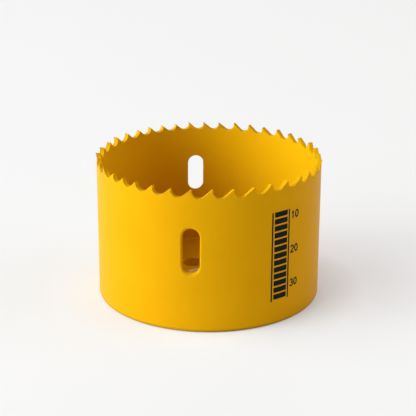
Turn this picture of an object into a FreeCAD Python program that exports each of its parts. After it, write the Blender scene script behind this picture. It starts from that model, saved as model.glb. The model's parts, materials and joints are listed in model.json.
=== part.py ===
import FreeCAD, Part
import math
import os

# Hole saw: a toothed steel band rolled into a ring, with a thick drive plate welded in its lower end.
# Millimetres, +Z up. The origin is the centre of the plate's outer face, and the teeth point up.
# Angles are in degrees, measured from the front (-Y) towards +X, which is the way the teeth cut.

# Band
saw_diameter = 64.0
saw_height = 41.0
wall = 1.3
foot_round = 0.6
seam_chamfer = 0.3

# Teeth; the pitch is measured along the band's outer face
nominal_pitch = 5.155
tooth_depth = 2.1
gullet_radius = 1.8
rake_angle = 8.0
tip_land = 0.15
tooth_set = 0.3
set_bend_share = 0.8
rim_depth_share = 1.5
first_tip_angle = -180.3
# Each wave of the tooth pitch: cycles in one turn, swing as a share of the pitch, angle of a coarse stretch
pitch_waves = ((1, 0.084, 35.3), (2, 0.029, 81.9), (3, 0.047, 8.7), (4, 0.046, -7.4))

# Slots for pushing out the sawn disc
slot_width = 4.76
slot_lip = 0.8
front_slot_length = 12.8
front_slot_angle = -8.7
front_slot_height = 23.5
back_slot_length = 11.0
back_slot_angle = 187.7
back_slot_height = 25.3

# Drive plate
plate_thickness = 3.2
weld_leg = 0.7
arbor_hole_radius = 7.94
arbor_hole_chamfer = 0.4
pin_count = 4
pin_circle_diameter = 23.8
pin_hole_radius = 3.25
first_pin_angle = 23.0

# Extra length by which a cutting tool runs past the faces that it cuts
overrun = 2.0

outer_radius = saw_diameter / 2
inner_radius = outer_radius - wall
middle_radius = outer_radius - wall / 2
tooth_count = round(2 * math.pi * outer_radius / nominal_pitch)
axis_start = FreeCAD.Vector(0, 0, 0)
up = FreeCAD.Vector(0, 0, 1)


def outward(angle):
    """Unit vector away from the axis, towards the given angle."""
    turn = math.radians(angle)
    return FreeCAD.Vector(math.sin(turn), -math.cos(turn), 0)


def along_rim(angle):
    """Unit vector along the rim at the given angle, the way the teeth cut."""
    turn = math.radians(angle)
    return FreeCAD.Vector(math.cos(turn), math.sin(turn), 0)


def closed_face(edges):
    return Part.Face(Part.Wire([edge.toShape() for edge in edges]))


def revolved(points, start_angle, span):
    """Turn a closed outline of (radius, height) points about the axis, through part of a turn."""
    corners = [outward(start_angle) * radius + up * height for radius, height in points]
    outline = Part.makePolygon(corners + corners[:1])
    return Part.Face(outline).revolve(axis_start, up, span)


def tip_angle(index):
    """Angle of one tooth tip: even spacing, moved by the waves of the pitch."""
    even = first_tip_angle + 360.0 * index / tooth_count
    moved = even
    for cycles, swing, coarse_angle in pitch_waves:
        moved += math.degrees(swing / cycles * math.sin(math.radians(cycles * (even - coarse_angle))))
    return moved


class Gullet:
    """The gap between two teeth: steep cutting face, round root and long back slope."""

    def __init__(self, index):
        tip = tip_angle(index)
        next_tip = tip_angle(index + 1)
        pitch = math.radians(next_tip - tip) * middle_radius
        mean_pitch = 2 * math.pi * middle_radius / tooth_count
        rake = math.radians(rake_angle)
        self.rake = rake
        self.depth = tooth_depth * pitch / mean_pitch
        deepest_round = self.depth / (1 + math.sin(rake))
        self.radius = min(gullet_radius * pitch / mean_pitch, deepest_round)
        self.centre_height = saw_height - self.depth + self.radius
        rise = saw_height - self.centre_height
        self.face_distance = self.radius / math.cos(rake) - rise * math.tan(rake)
        self.angle = tip + math.degrees((self.face_distance + tip_land / 2) / middle_radius)
        sweep = math.radians(next_tip - self.angle)
        self.heel_distance = middle_radius * math.sin(sweep) - tip_land / 2
        self.back_slope = math.atan2(rise, self.heel_distance) + math.asin(
            self.radius / math.hypot(self.heel_distance, rise))

    def cutter(self):
        """Solid that saws this gap through the wall, straight out from the axis."""
        start = outward(self.angle) * (inner_radius - overrun)

        def place(along, height):
            return start + along_rim(self.angle) * along + up * height

        top = saw_height + overrun
        rake, slope, radius, centre = self.rake, self.back_slope, self.radius, self.centre_height
        face_top = place(-self.face_distance + overrun * math.tan(rake), top)
        face_foot = place(-radius * math.cos(rake), centre + radius * math.sin(rake))
        root = place(0, centre - radius)
        slope_foot = place(radius * math.sin(slope), centre - radius * math.cos(slope))
        slope_top = place(self.heel_distance + overrun / math.tan(slope), top)
        outline = closed_face([
            Part.LineSegment(face_top, face_foot),
            Part.Arc(face_foot, root, slope_foot),
            Part.LineSegment(slope_foot, slope_top),
            Part.LineSegment(slope_top, face_top),
        ])
        return outline.extrude(outward(self.angle) * (wall + 2 * overrun))


gullets = [Gullet(index) for index in range(tooth_count)]
deepest_gullet = max(gullet.depth for gullet in gullets)
set_height = set_bend_share * min(gullet.depth for gullet in gullets)
bend_height = saw_height - set_height
rim_foot_height = saw_height - rim_depth_share * deepest_gullet


def rim_sector(index):
    """Uncut rim for one tooth, root to root. Teeth are set in threes: straight, outwards, inwards."""
    start = gullets[index - 1].angle
    span = (gullets[index].angle - start) % 360.0
    lean = (0.0, tooth_set, -tooth_set)[index % 3]
    return revolved([
        (inner_radius, rim_foot_height),
        (outer_radius, rim_foot_height),
        (outer_radius, bend_height),
        (outer_radius + lean, saw_height),
        (inner_radius + lean, saw_height),
        (inner_radius, bend_height),
    ], start, span)


def lower_band():
    """Plain ring below the teeth, with a rounded foot and a chamfer for the weld seam underneath."""
    quarter = foot_round * (1 - math.sqrt(0.5))

    def place(radius, height):
        return FreeCAD.Vector(radius, 0, height)

    foot_start = place(outer_radius - foot_round, 0)
    foot_middle = place(outer_radius - quarter, quarter)
    foot_end = place(outer_radius, foot_round)
    outer_top = place(outer_radius, rim_foot_height)
    inner_top = place(inner_radius, rim_foot_height)
    seam_top = place(inner_radius, seam_chamfer)
    seam_foot = place(inner_radius + seam_chamfer, 0)
    outline = closed_face([
        Part.Arc(foot_start, foot_middle, foot_end),
        Part.LineSegment(foot_end, outer_top),
        Part.LineSegment(outer_top, inner_top),
        Part.LineSegment(inner_top, seam_top),
        Part.LineSegment(seam_top, seam_foot),
        Part.LineSegment(seam_foot, foot_start),
    ])
    return outline.revolve(axis_start, up, 360.0)


def slot_cutter(angle, centre_height, length):
    """Oblong with round ends, punched straight out through one side of the band."""
    start = outward(angle) * (inner_radius - overrun)
    half_width = slot_width / 2
    half_straight = length / 2 - half_width

    def place(along, height):
        return start + along_rim(angle) * along + up * (centre_height + height)

    right_foot = place(half_width, -half_straight)
    right_top = place(half_width, half_straight)
    left_top = place(-half_width, half_straight)
    left_foot = place(-half_width, -half_straight)
    outline = closed_face([
        Part.LineSegment(right_foot, right_top),
        Part.Arc(right_top, place(0, length / 2), left_top),
        Part.LineSegment(left_top, left_foot),
        Part.Arc(left_foot, place(0, -length / 2), right_foot),
    ])
    return outline.extrude(outward(angle) * (wall + 2 * overrun))


def lip_cutter(angle, centre_height, length):
    """Rounded outer edge of a slot in two facets: a bar for its sides and a turned piece for each end."""
    facet_depth = slot_lip * (1 - math.sqrt(0.5))
    half_width = slot_width / 2
    half_straight = length / 2 - half_width
    # Half of the lip's section: distance from the slot's middle, distance out from the band's outer face
    right_half = [
        (half_width, -slot_lip),
        (half_width + facet_depth, -facet_depth),
        (half_width + slot_lip, 0),
        (half_width + slot_lip, overrun),
    ]
    left_half = [(-along, out) for along, out in reversed(right_half)]

    def section(points, height):
        corners = [outward(angle) * (outer_radius + out) + along_rim(angle) * along + up * height
                   for along, out in points]
        return Part.Face(Part.makePolygon(corners + corners[:1]))

    foot = centre_height - half_straight
    top = centre_height + half_straight
    bar = section(right_half + left_half, foot).extrude(up * (top - foot))
    middle_line = [(0, overrun), (0, -slot_lip)]
    ends = [section(right_half + middle_line, height).revolve(up * height, outward(angle), 360.0)
            for height in (foot, top)]
    return bar.multiFuse(ends)


def toothed_band():
    sectors = [rim_sector(index) for index in range(tooth_count)]
    band = lower_band().multiFuse(sectors).removeSplitter()
    band = band.cut([gullet.cutter() for gullet in gullets])
    for slot in (
        (front_slot_angle, front_slot_height, front_slot_length),
        (back_slot_angle, back_slot_height, back_slot_length),
    ):
        band = band.cut([slot_cutter(*slot), lip_cutter(*slot)])
    return band


def drive_plate():
    """Disc welded inside the band's lower end, with the arbor hole and the holes for drive pins."""
    plate = revolved([
        (arbor_hole_radius, arbor_hole_chamfer),
        (arbor_hole_radius, plate_thickness - arbor_hole_chamfer),
        (arbor_hole_radius + arbor_hole_chamfer, plate_thickness),
        (inner_radius - weld_leg, plate_thickness),
        (inner_radius, plate_thickness + weld_leg),
        (inner_radius, seam_chamfer),
        (inner_radius - seam_chamfer, 0),
        (arbor_hole_radius + arbor_hole_chamfer, 0),
    ], 0, 360)
    pin_holes = []
    for index in range(pin_count):
        angle = first_pin_angle + 360.0 * index / pin_count
        start = outward(angle) * (pin_circle_diameter / 2) - up * overrun
        pin_holes.append(Part.makeCylinder(pin_hole_radius, plate_thickness + 2 * overrun, start, up))
    return plate.cut(pin_holes)


os.makedirs("parts", exist_ok=True)
for name, shape in (("toothed_band", toothed_band()), ("drive_plate", drive_plate())):
    solid = shape.Solids[0]
    print(name, "solids", len(shape.Solids), "valid", shape.isValid(), "volume", round(solid.Volume, 2))
    solid.exportStep("parts/" + name + ".step")
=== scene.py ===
import bpy
import json
import math
from mathutils import Matrix, Vector


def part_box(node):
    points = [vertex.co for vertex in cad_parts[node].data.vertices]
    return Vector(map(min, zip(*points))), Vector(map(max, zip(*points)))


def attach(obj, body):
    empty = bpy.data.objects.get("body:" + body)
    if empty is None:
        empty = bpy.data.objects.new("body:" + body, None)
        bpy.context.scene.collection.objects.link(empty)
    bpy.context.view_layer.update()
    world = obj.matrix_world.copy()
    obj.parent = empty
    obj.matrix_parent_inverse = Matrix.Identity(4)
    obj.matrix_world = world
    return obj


# Looks of a hole saw: painted steel, the bare thread of the arbor hole and a printed depth scale.
# Metres, +Z up, the front is -Y. Angles around the wall are in degrees, from the front towards +X.

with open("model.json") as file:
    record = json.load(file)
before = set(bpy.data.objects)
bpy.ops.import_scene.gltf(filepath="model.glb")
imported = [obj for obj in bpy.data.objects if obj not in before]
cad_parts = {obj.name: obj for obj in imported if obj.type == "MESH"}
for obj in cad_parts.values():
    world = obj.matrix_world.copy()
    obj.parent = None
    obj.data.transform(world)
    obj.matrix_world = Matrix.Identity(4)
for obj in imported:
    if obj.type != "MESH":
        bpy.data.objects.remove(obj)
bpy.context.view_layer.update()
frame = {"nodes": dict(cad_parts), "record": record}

MM = 0.001
band = frame["nodes"]["toothed_band"]
plate = frame["nodes"]["drive_plate"]
thread_mount = next(mount for mount in frame["record"]["mounts"] if mount["name"] == "arbor_thread")

# Sizes taken from the frame, apart from the thickness of the wall
saw_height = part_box("toothed_band")[1].z
plate_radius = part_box("drive_plate")[1].x
wall = 1.3 * MM
outer_radius = plate_radius + wall
arbor_radius = thread_mount["dims"]["r_mm"] * MM
arbor_length = thread_mount["dims"]["length_mm"] * MM
arbor_middle = thread_mount["pos_m"][2]


def outward(angle):
    """Unit vector away from the axis at an angle around the wall."""
    turn = math.radians(angle)
    return Vector((math.sin(turn), -math.cos(turn), 0))


# Camera

image_size = 416
sensor_width = 36.0
focal_pixels = 1325.0
nearest_seen, farthest_seen = 0.01, 20.0
camera_distance = 0.3829
camera_elevation = math.radians(20.04)
camera_roll = math.radians(0.22)
camera_target = Vector((-0.00024, 0, 0.02456))


def add_camera():
    back = Vector((0, -math.cos(camera_elevation), math.sin(camera_elevation)))
    right = Vector((1, 0, 0))
    up = back.cross(right)
    rolled_right = math.cos(camera_roll) * right + math.sin(camera_roll) * up
    rolled_up = math.cos(camera_roll) * up - math.sin(camera_roll) * right
    data = bpy.data.cameras.new("camera")
    data.sensor_width = sensor_width
    data.lens = focal_pixels / image_size * sensor_width
    data.clip_start = nearest_seen
    data.clip_end = farthest_seen
    camera = bpy.data.objects.new("camera", data)
    turn = Matrix((rolled_right, rolled_up, back)).transposed()
    camera.matrix_world = Matrix.Translation(camera_target + back * camera_distance) @ turn.to_4x4()
    bpy.context.scene.collection.objects.link(camera)
    bpy.context.scene.camera = camera


# Finishes


class Finish:
    """A material made of nodes, with a short call for each kind of node that the finishes share."""

    def __init__(self, name):
        self.material = bpy.data.materials.new(name)
        self.material.use_nodes = True
        self.nodes = self.material.node_tree.nodes
        self.links = self.material.node_tree.links
        self.nodes.clear()
        self.surface = self.nodes.new("ShaderNodeOutputMaterial").inputs["Surface"]
        self.shader = self.nodes.new("ShaderNodeBsdfPrincipled")
        self.link(self.shader.outputs["BSDF"], self.surface)
        self.place = self.nodes.new("ShaderNodeTexCoord").outputs["Object"]

    def link(self, source, target):
        self.links.new(source, target)

    def set_value(self, name, value):
        """One value all over the surface."""
        self.shader.inputs[name].default_value = value

    def set_from(self, name, source):
        """A value that another node works out."""
        self.link(source, self.shader.inputs[name])

    def noise(self, scale, detail, place=None):
        node = self.nodes.new("ShaderNodeTexNoise")
        node.inputs["Scale"].default_value = scale
        node.inputs["Detail"].default_value = detail
        self.link(self.place if place is None else place, node.inputs["Vector"])
        return node.outputs["Fac"]

    def ramp(self, value, start, end, start_colour, end_colour):
        """Colour that goes from one to the other while the value goes from start to end."""
        node = self.nodes.new("ShaderNodeValToRGB")
        for stop, position, colour in zip(node.color_ramp.elements, (start, end), (start_colour, end_colour)):
            stop.position = position
            stop.color = (*colour, 1)
        self.link(value, node.inputs["Fac"])
        return node.outputs["Color"]

    def fade(self, value, start, end, low, high):
        """Number that goes from low to high while the value goes from start to end."""
        node = self.nodes.new("ShaderNodeMapRange")
        node.inputs["From Min"].default_value = start
        node.inputs["From Max"].default_value = end
        node.inputs["To Min"].default_value = low
        node.inputs["To Max"].default_value = high
        self.link(value, node.inputs["Value"])
        return node.outputs["Result"]

    def combine(self, operation, first, second):
        node = self.nodes.new("ShaderNodeMath")
        node.operation = operation
        self.link(first, node.inputs[0])
        self.link(second, node.inputs[1])
        return node.outputs["Value"]

    def mix(self, share, colour, other):
        """The colour where the share is 0, and the other one, which a node works out, where it is 1."""
        node = self.nodes.new("ShaderNodeMix")
        node.data_type = "RGBA"
        sockets = {socket.identifier: socket for socket in (*node.inputs, *node.outputs)}
        self.link(share, sockets["Factor_Float"])
        sockets["A_Color"].default_value = (*colour, 1)
        self.link(other, sockets["B_Color"])
        return sockets["Result_Color"]

    def axis_distance(self):
        """Distance from the saw's axis."""
        flat = self.nodes.new("ShaderNodeVectorMath")
        flat.operation = "MULTIPLY"
        flat.inputs[1].default_value = (1, 1, 0)
        self.link(self.place, flat.inputs[0])
        length = self.nodes.new("ShaderNodeVectorMath")
        length.operation = "LENGTH"
        self.link(flat.outputs["Vector"], length.inputs[0])
        return length.outputs["Value"]

    def height(self):
        """Height above the saw's underside."""
        parts = self.nodes.new("ShaderNodeSeparateXYZ")
        self.link(self.place, parts.inputs["Vector"])
        return parts.outputs["Z"]

    def bump(self, height, strength, depth, normal=None):
        node = self.nodes.new("ShaderNodeBump")
        node.inputs["Strength"].default_value = strength
        node.inputs["Distance"].default_value = depth
        self.link(height, node.inputs["Height"])
        if normal is not None:
            self.link(normal, node.inputs["Normal"])
        self.set_from("Normal", node.outputs["Normal"])

    def soft_edges(self, radius, samples):
        node = self.nodes.new("ShaderNodeBevel")
        node.samples = samples
        node.inputs["Radius"].default_value = radius
        return node.outputs["Normal"]


paint_yellow = (0.68, 0.322, 0.003)
paint_deep = (0.655, 0.306, 0.002)
# Painted light: the inside of the cup is coloured lighter and more lemon, standing in for light the inside
# lacks
painted_inside_light = (0.72, 0.376, 0.003)
# Painted shade: a dark colour on the foot stands in for the contact shadow where the saw meets the floor
painted_foot_shade = (0.30, 0.155, 0.002)
paint_sheen = (1.0, 0.75, 0.05)
# The foot is darkened with painted shade up to this height, and over this width of the underside
foot_shade_height = 1.1 * MM
foot_shade_rim = 0.7 * MM


def yellow_paint():
    """Satin sprayed enamel, with painted light making the inside lighter and painted shade darkening the
    foot, with faint mottling and orange peel.
    """
    enamel = Finish("yellow_paint")
    outer_coat = enamel.ramp(enamel.noise(scale=90.0, detail=3.0), 0.3, 0.7, paint_deep, paint_yellow)
    radius = enamel.axis_distance()
    outside = enamel.fade(radius, outer_radius - 0.8 * wall, outer_radius - 0.2 * wall, low=0, high=1)
    # Painted light: inside the wall the colour turns lighter, standing in for light the inside lacks
    coat_with_inside_light = enamel.mix(outside, painted_inside_light, outer_coat)
    # Painted shade: the foot's rounded edge is coloured dark, standing in for the contact shadow on the floor
    above_foot_shade = enamel.fade(enamel.height(), 0, foot_shade_height, low=0, high=1)
    inside_foot_shade = enamel.fade(radius, outer_radius - foot_shade_rim, outer_radius - 0.5 * foot_shade_rim, low=1, high=0)
    unshaded = enamel.combine("MAXIMUM", above_foot_shade, inside_foot_shade)
    enamel.set_from("Base Color", enamel.mix(unshaded, painted_foot_shade, coat_with_inside_light))
    sheen = enamel.noise(scale=260.0, detail=2.0)
    enamel.set_from("Roughness", enamel.fade(sheen, 0, 1, low=0.34, high=0.42))
    enamel.set_value("Specular IOR Level", 0.03)
    enamel.set_value("Specular Tint", (*paint_sheen, 1))
    orange_peel = enamel.noise(scale=1400.0, detail=2.0)
    edges = enamel.soft_edges(radius=0.18 * MM, samples=6)
    enamel.bump(orange_peel, strength=0.12, depth=0.02 * MM, normal=edges)
    return enamel.material


steel_dark = (0.86, 0.77, 0.69)
steel_bright = (0.98, 0.90, 0.82)


def bare_thread():
    """Cut steel, left bare where the thread was masked, with fine lines around the axis."""
    steel = Finish("bare_thread")
    stretched = steel.nodes.new("ShaderNodeMapping")
    stretched.inputs["Scale"].default_value = (1.0, 1.0, 14.0)
    steel.link(steel.place, stretched.inputs["Vector"])
    lines = steel.noise(scale=420.0, detail=3.0, place=stretched.outputs["Vector"])
    steel.set_from("Base Color", steel.ramp(lines, 0.3, 0.7, steel_dark, steel_bright))
    steel.set_from("Roughness", steel.fade(lines, 0, 1, low=0.4, high=0.6))
    steel.set_value("Metallic", 0.6)
    steel.bump(lines, strength=0.2, depth=0.02 * MM)
    return steel.material


ink_deep = (0.003, 0.0028, 0.003)
ink_thin = (0.010, 0.009, 0.008)


def black_print():
    """Pad-printed ink: satin, with a slightly uneven film."""
    ink = Finish("black_print")
    film = ink.noise(scale=700.0, detail=4.0)
    ink.set_from("Base Color", ink.ramp(film, 0.25, 0.75, ink_deep, ink_thin))
    ink.set_from("Roughness", ink.fade(film, 0, 1, low=0.4, high=0.55))
    ink.set_value("Specular IOR Level", 0.08)
    ink.bump(film, strength=0.15, depth=0.01 * MM)
    return ink.material


# Pieces


def dress(node, material):
    node.data.materials.clear()
    node.data.materials.append(material)


def add_mesh(name, vertices, faces, material):
    mesh = bpy.data.meshes.new(name)
    mesh.from_pydata(vertices, [], faces)
    mesh.update()
    mesh.materials.append(material)
    piece = bpy.data.objects.new(name, mesh)
    bpy.context.scene.collection.objects.link(piece)
    return piece


# Thread of the arbor hole, 18 turns to the inch; crest and root are flat over a share of the pitch
inch = 25.4
turns_per_inch = 18
thread_pitch = inch / turns_per_inch * MM
thread_depth = 0.62 * MM
thread_clearance = 0.01 * MM
crest_share = 0.15
root_share = 0.15
thread_steps = 180
thread_levels = 44


def thread_ridge(turns):
    """Height of the ridge, from 0 at the root to 1 at the crest, by the position along the pitch."""
    along = abs((turns % 1.0) - 0.5) * 2
    flank = (along - root_share) / (1 - root_share - crest_share)
    return min(1.0, max(0.0, flank))


def arbor_thread(material):
    """The turns of thread in the arbor hole, as a ring whose inner face carries the ridge."""
    foot = arbor_middle - arbor_length / 2
    top = foot + arbor_length
    root = arbor_radius - thread_clearance
    back = arbor_radius + thread_clearance
    vertices, faces = [], []
    for step in range(thread_steps):
        turn = 2 * math.pi * step / thread_steps
        section = []
        for level in range(thread_levels + 1):
            z = foot + arbor_length * level / thread_levels
            ridge = thread_depth * thread_ridge(z / thread_pitch - step / thread_steps)
            lead_in = min(z - foot, top - z)
            section.append((root - min(ridge, lead_in), z))
        section += [(back, top), (back, foot)]
        vertices += [(radius * math.cos(turn), radius * math.sin(turn), z) for radius, z in section]
    row = len(vertices) // thread_steps
    for step in range(thread_steps):
        here, there = step * row, (step + 1) % thread_steps * row
        for level in range(row):
            above = (level + 1) % row
            faces.append((here + level, here + above, there + above, there + level))
    piece = add_mesh("arbor_thread", vertices, faces, material)
    piece.data.shade_smooth()
    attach(piece, "root")


# Printed depth scale: a staff of bars between two thin lines, with numerals to its right.
# Distances across are from the middle of the print, and depths are in millimetres below the tooth tips.
print_angle = 39.6
print_height = 0.03 * MM
print_sink = 0.01 * MM
print_step = 0.25 * MM
first_depth, last_depth = 8, 34
bar_spacing = 2
bar_height = 1.5 * MM
bar_left, bar_right = -3.3 * MM, 1.2 * MM
line_width = 0.45 * MM
line_lefts = (bar_left - 0.9 * MM, bar_right + 0.4 * MM)
numeral_depths = (10, 20, 30)
numeral_left = 2.6 * MM
numeral_size = 1.35 * MM
# Shares of the numeral's size
numeral_height = 1.6
numeral_spacing = 1.25
numeral_stroke = 0.32


def on_wall(across, z, lift):
    """Point on the wall, by the distance across and the height."""
    angle = print_angle + math.degrees(across / outer_radius)
    return outward(angle) * (outer_radius + lift) + Vector((0, 0, z))


def printed_patch(vertices, faces, grid):
    """Thin closed slab over a grid of (across, height) points, lying on the wall."""
    rows, columns = len(grid), len(grid[0])
    first = len(vertices)
    for lift in (print_height, -print_sink):
        for row in grid:
            vertices.extend(on_wall(across, z, lift) for across, z in row)
    top = [range(first + row * columns, first + (row + 1) * columns) for row in range(rows)]
    below = rows * columns
    for row, next_row in zip(top, top[1:]):
        for left in range(columns - 1):
            face = [row[left], row[left + 1], next_row[left + 1], next_row[left]]
            faces.append(face)
            faces.append([corner + below for corner in reversed(face)])
    rim = [row[0] for row in reversed(top)] + list(top[0][1:])
    rim += [row[-1] for row in top[1:]] + list(reversed(top[-1][1:-1]))
    for here, there in zip(rim, rim[1:] + rim[:1]):
        faces.append([here, here + below, there + below, there])


def rectangle(vertices, faces, left, right, low, high):
    columns = max(1, math.ceil((right - left) / print_step))
    edges = [left + (right - left) * step / columns for step in range(columns + 1)]
    printed_patch(vertices, faces, [[(across, z) for across in edges] for z in (low, high)])


def stroke(vertices, faces, points, width):
    """Line of even width through a list of points, with square ends."""
    grid = []
    for index, point in enumerate(points):
        before = points[max(0, index - 1)]
        after = points[min(len(points) - 1, index + 1)]
        run = Vector((after[0] - before[0], after[1] - before[1])).normalized()
        side = Vector((-run.y, run.x)) * width / 2
        grid.append([(point[0] + side.x * share, point[1] + side.y * share) for share in (1, 0, -1)])
    printed_patch(vertices, faces, grid)


def arc(middle, radii, start, end, steps=14):
    """Points along part of an ellipse, angles in degrees from the right, anticlockwise."""
    points = []
    for step in range(steps + 1):
        turn = math.radians(start + (end - start) * step / steps)
        points.append((middle[0] + radii[0] * math.cos(turn), middle[1] + radii[1] * math.sin(turn)))
    return points


# Centre lines of the numerals, in a box 1 wide and 1.6 high, from its lower left corner
digit_strokes = {
    0: [arc((0.5, 0.8), (0.42, 0.72), 90, 450, steps=28)],
    1: [[(0.22, 1.2), (0.55, 1.52)], [(0.55, 1.6), (0.55, 0.0)]],
    2: [arc((0.5, 1.12), (0.4, 0.4), 170, -25) + [(0.08, 0.1)], [(0.02, 0.09), (0.98, 0.09)]],
    3: [arc((0.48, 1.15), (0.37, 0.37), 160, -90), arc((0.48, 0.45), (0.43, 0.37), 90, -160)],
}


def numeral(vertices, faces, depth):
    """Two digits, centred on the height of their depth."""
    low = saw_height - depth * MM - numeral_height / 2 * numeral_size
    for position, digit in enumerate(divmod(depth, 10)):
        left = numeral_left + position * numeral_spacing * numeral_size
        for points in digit_strokes[digit]:
            scaled = [(left + across * numeral_size, low + up * numeral_size) for across, up in points]
            stroke(vertices, faces, scaled, numeral_stroke * numeral_size)


def printed_scale(material):
    vertices, faces = [], []
    line_foot, line_top = saw_height - last_depth * MM, saw_height - first_depth * MM
    for left in line_lefts:
        rectangle(vertices, faces, left, left + line_width, line_foot, line_top)
    for depth in range(first_depth, last_depth, bar_spacing):
        top = saw_height - depth * MM
        rectangle(vertices, faces, bar_left, bar_right, top - bar_height, top)
    for depth in numeral_depths:
        numeral(vertices, faces, depth)
    piece = add_mesh("printed_scale", vertices, faces, material)
    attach(piece, "root")


# Surroundings

floor_size = 6.0
floor_gap = 0.02 * MM
floor_colour = (0.815, 0.80, 0.805)
floor_shade = 0.995
backdrop_white = (0.945, 0.925, 0.93)
# Share of backdrop white that is seen: at the wall, where the shadow is deepest, and from the reach outwards
contact_share = 0.3
backdrop_share = 0.6
contact_reach = 14 * MM


def floor_finish():
    """Matt white board; seen directly or in gloss it has a share of even white, and it keeps its shadows."""
    board = Finish("floor")
    grain = board.noise(scale=4.0, detail=2.0)
    shaded = tuple(channel * floor_shade for channel in floor_colour)
    board.set_from("Base Color", board.ramp(grain, 0.3, 0.7, shaded, floor_colour))
    board.set_value("Roughness", 0.9)
    board.set_value("Specular IOR Level", 0.1)
    white = board.nodes.new("ShaderNodeEmission")
    white.inputs["Color"].default_value = (*backdrop_white, 1)
    rays = board.nodes.new("ShaderNodeLightPath").outputs
    seen = board.combine("MAXIMUM", rays["Is Camera Ray"], rays["Is Glossy Ray"])
    seen = board.combine("MAXIMUM", seen, rays["Is Transmission Ray"])
    share = board.fade(board.axis_distance(), outer_radius, outer_radius + contact_reach,
                       low=contact_share, high=backdrop_share)
    look = board.nodes.new("ShaderNodeMixShader")
    board.link(board.combine("MULTIPLY", seen, share), look.inputs["Fac"])
    board.link(board.shader.outputs["BSDF"], look.inputs[1])
    board.link(white.outputs["Emission"], look.inputs[2])
    board.link(look.outputs["Shader"], board.surface)
    return board.material


def add_floor():
    half = floor_size / 2
    corners = [(-half, -half, 0), (half, -half, 0), (half, half, 0), (-half, half, 0)]
    floor = add_mesh("floor", corners, [(0, 1, 2, 3)], floor_finish())
    floor.location.z = -floor_gap


cool_white = (0.915, 1.0, 0.98)
warm_white = (1.0, 0.98, 0.95)
lamp_distance = 2.0
lamp_size = 1.7
# Each lamp: name, angle around the saw and elevation in degrees, watts, colour, whether gloss mirrors it
lamps = (
    ("front_left_low", -60, 15, 46.5, cool_white, True),
    ("front_left_high", -60, 40, 15.7, cool_white, True),
    ("left_low", -90, 15, 4.7, cool_white, True),
    ("left_high", -90, 40, 27.3, cool_white, True),
    ("back_low", 180, 15, 16.9, warm_white, False),
    ("right_low", 90, 15, 15.9, warm_white, False),
    ("right_high", 90, 40, 11.1, warm_white, False),
)


def add_lights():
    for name, angle, elevation, watts, colour, mirrored in lamps:
        data = bpy.data.lights.new(name, "AREA")
        data.size = lamp_size
        data.energy = watts
        data.color = colour
        lamp = bpy.data.objects.new(name, data)
        lamp.visible_glossy = mirrored
        rise = math.radians(elevation)
        direction = outward(angle) * math.cos(rise) + Vector((0, 0, math.sin(rise)))
        lamp.location = camera_target + direction * lamp_distance
        lamp.rotation_euler = direction.to_track_quat("Z", "Y").to_euler()
        bpy.context.scene.collection.objects.link(lamp)
    world = bpy.data.worlds.new("world")
    world.use_nodes = True
    world.node_tree.nodes["Background"].inputs["Strength"].default_value = 0.0
    bpy.context.scene.world = world


add_camera()
paint = yellow_paint()
dress(band, paint)
dress(plate, paint)
arbor_thread(bare_thread())
printed_scale(black_print())
add_floor()
add_lights()
bpy.context.scene.view_settings.view_transform = "Standard"

bpy.context.view_layer.update()
